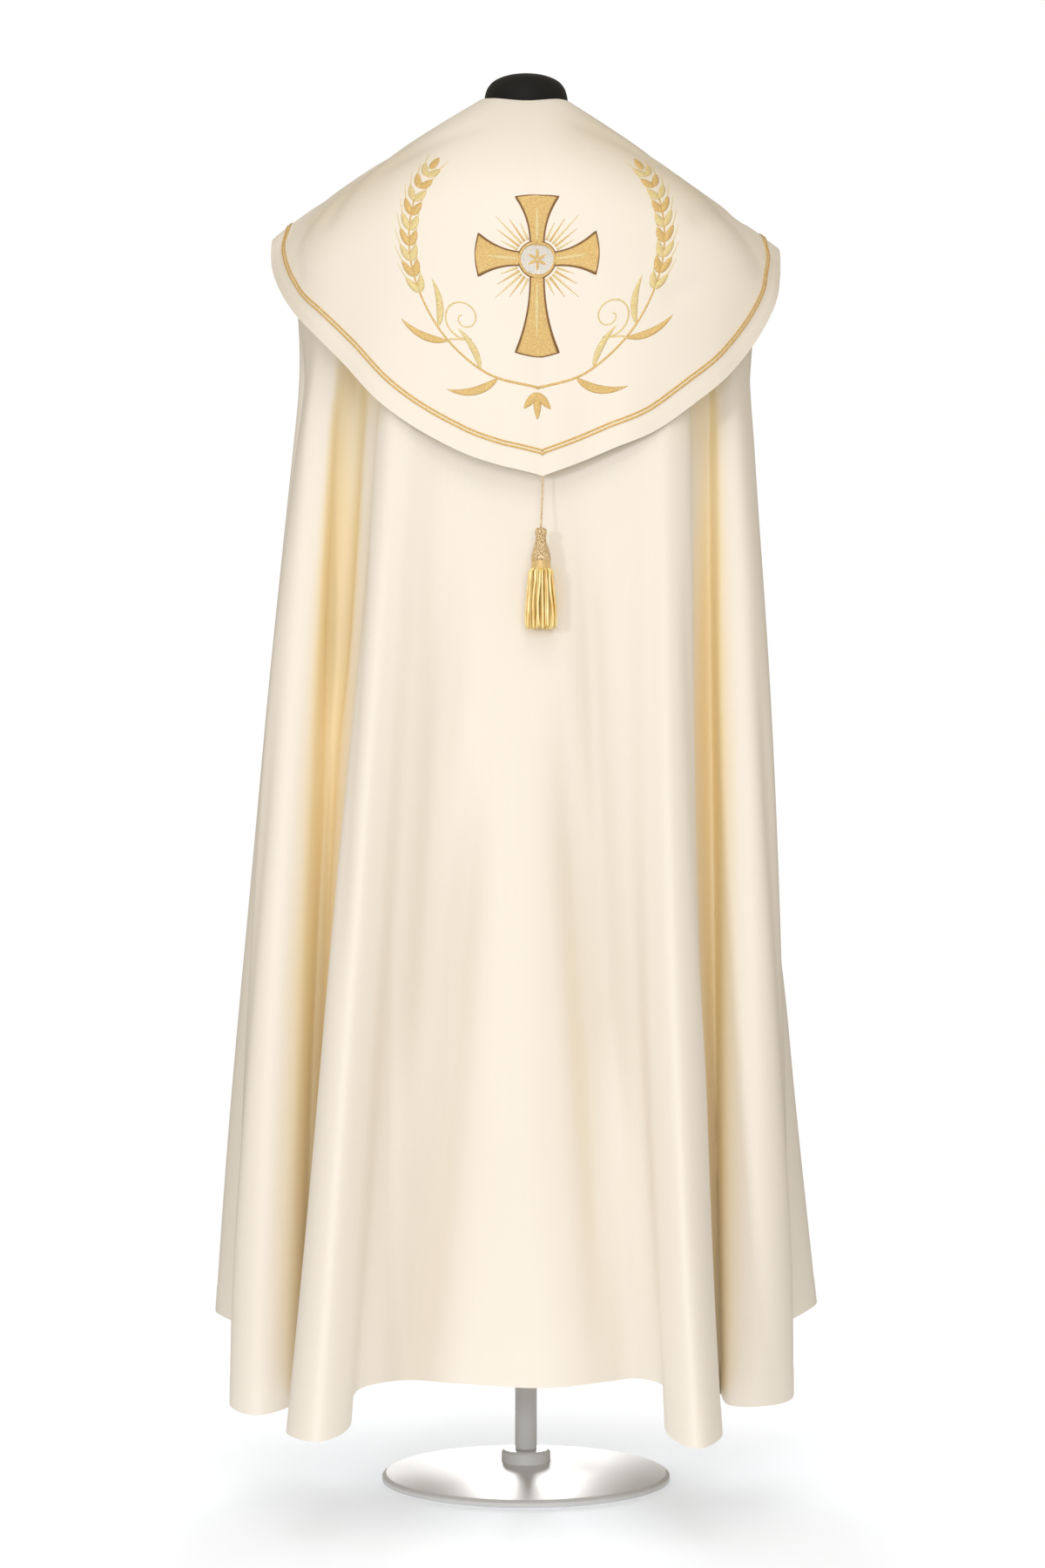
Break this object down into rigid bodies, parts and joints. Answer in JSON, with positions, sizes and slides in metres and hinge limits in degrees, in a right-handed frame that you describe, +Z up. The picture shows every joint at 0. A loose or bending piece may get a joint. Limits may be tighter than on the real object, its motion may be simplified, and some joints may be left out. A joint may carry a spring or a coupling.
{
  "type": "cope vestment on dress form",
  "caption": "Floor-length open-fronted satin cope with a pointed shield hood, gold braid and hanging tassel, draped on a limbless dress form on a round-based stand.",
  "frame": {"origin": "centre of the stand base's flat underside, on the floor, under the neck", "axes": "+Z up; the wearer faces +Y, so the open front is at +Y and the hood hangs at -Y; +X is the wearer's right"},
  "size_m": [0.7151, 0.7927, 1.6088],
  "materials": {
    "cope_satin": "smooth satin with a soft sheen",
    "hood_satin": "smooth satin, a little stiffer",
    "gold_braid": "metallic gold thread, two lines",
    "gold_cord": "shiny gold viscose, twisted",
    "form_cover": "matt black jersey",
    "stand_paint": "satin light grey powder coat"
  },
  "bodies": {
    "root": {"cope_body": "cope_satin", "hood": "hood_satin", "front_clasp": "cope_satin", "hood_braid": "gold_braid", "tassel_cord": "gold_cord", "tassel": "gold_cord", "form_torso": "form_cover", "stand_pole": "stand_paint", "stand_base": "stand_paint"}
  },
  "joints": []
}
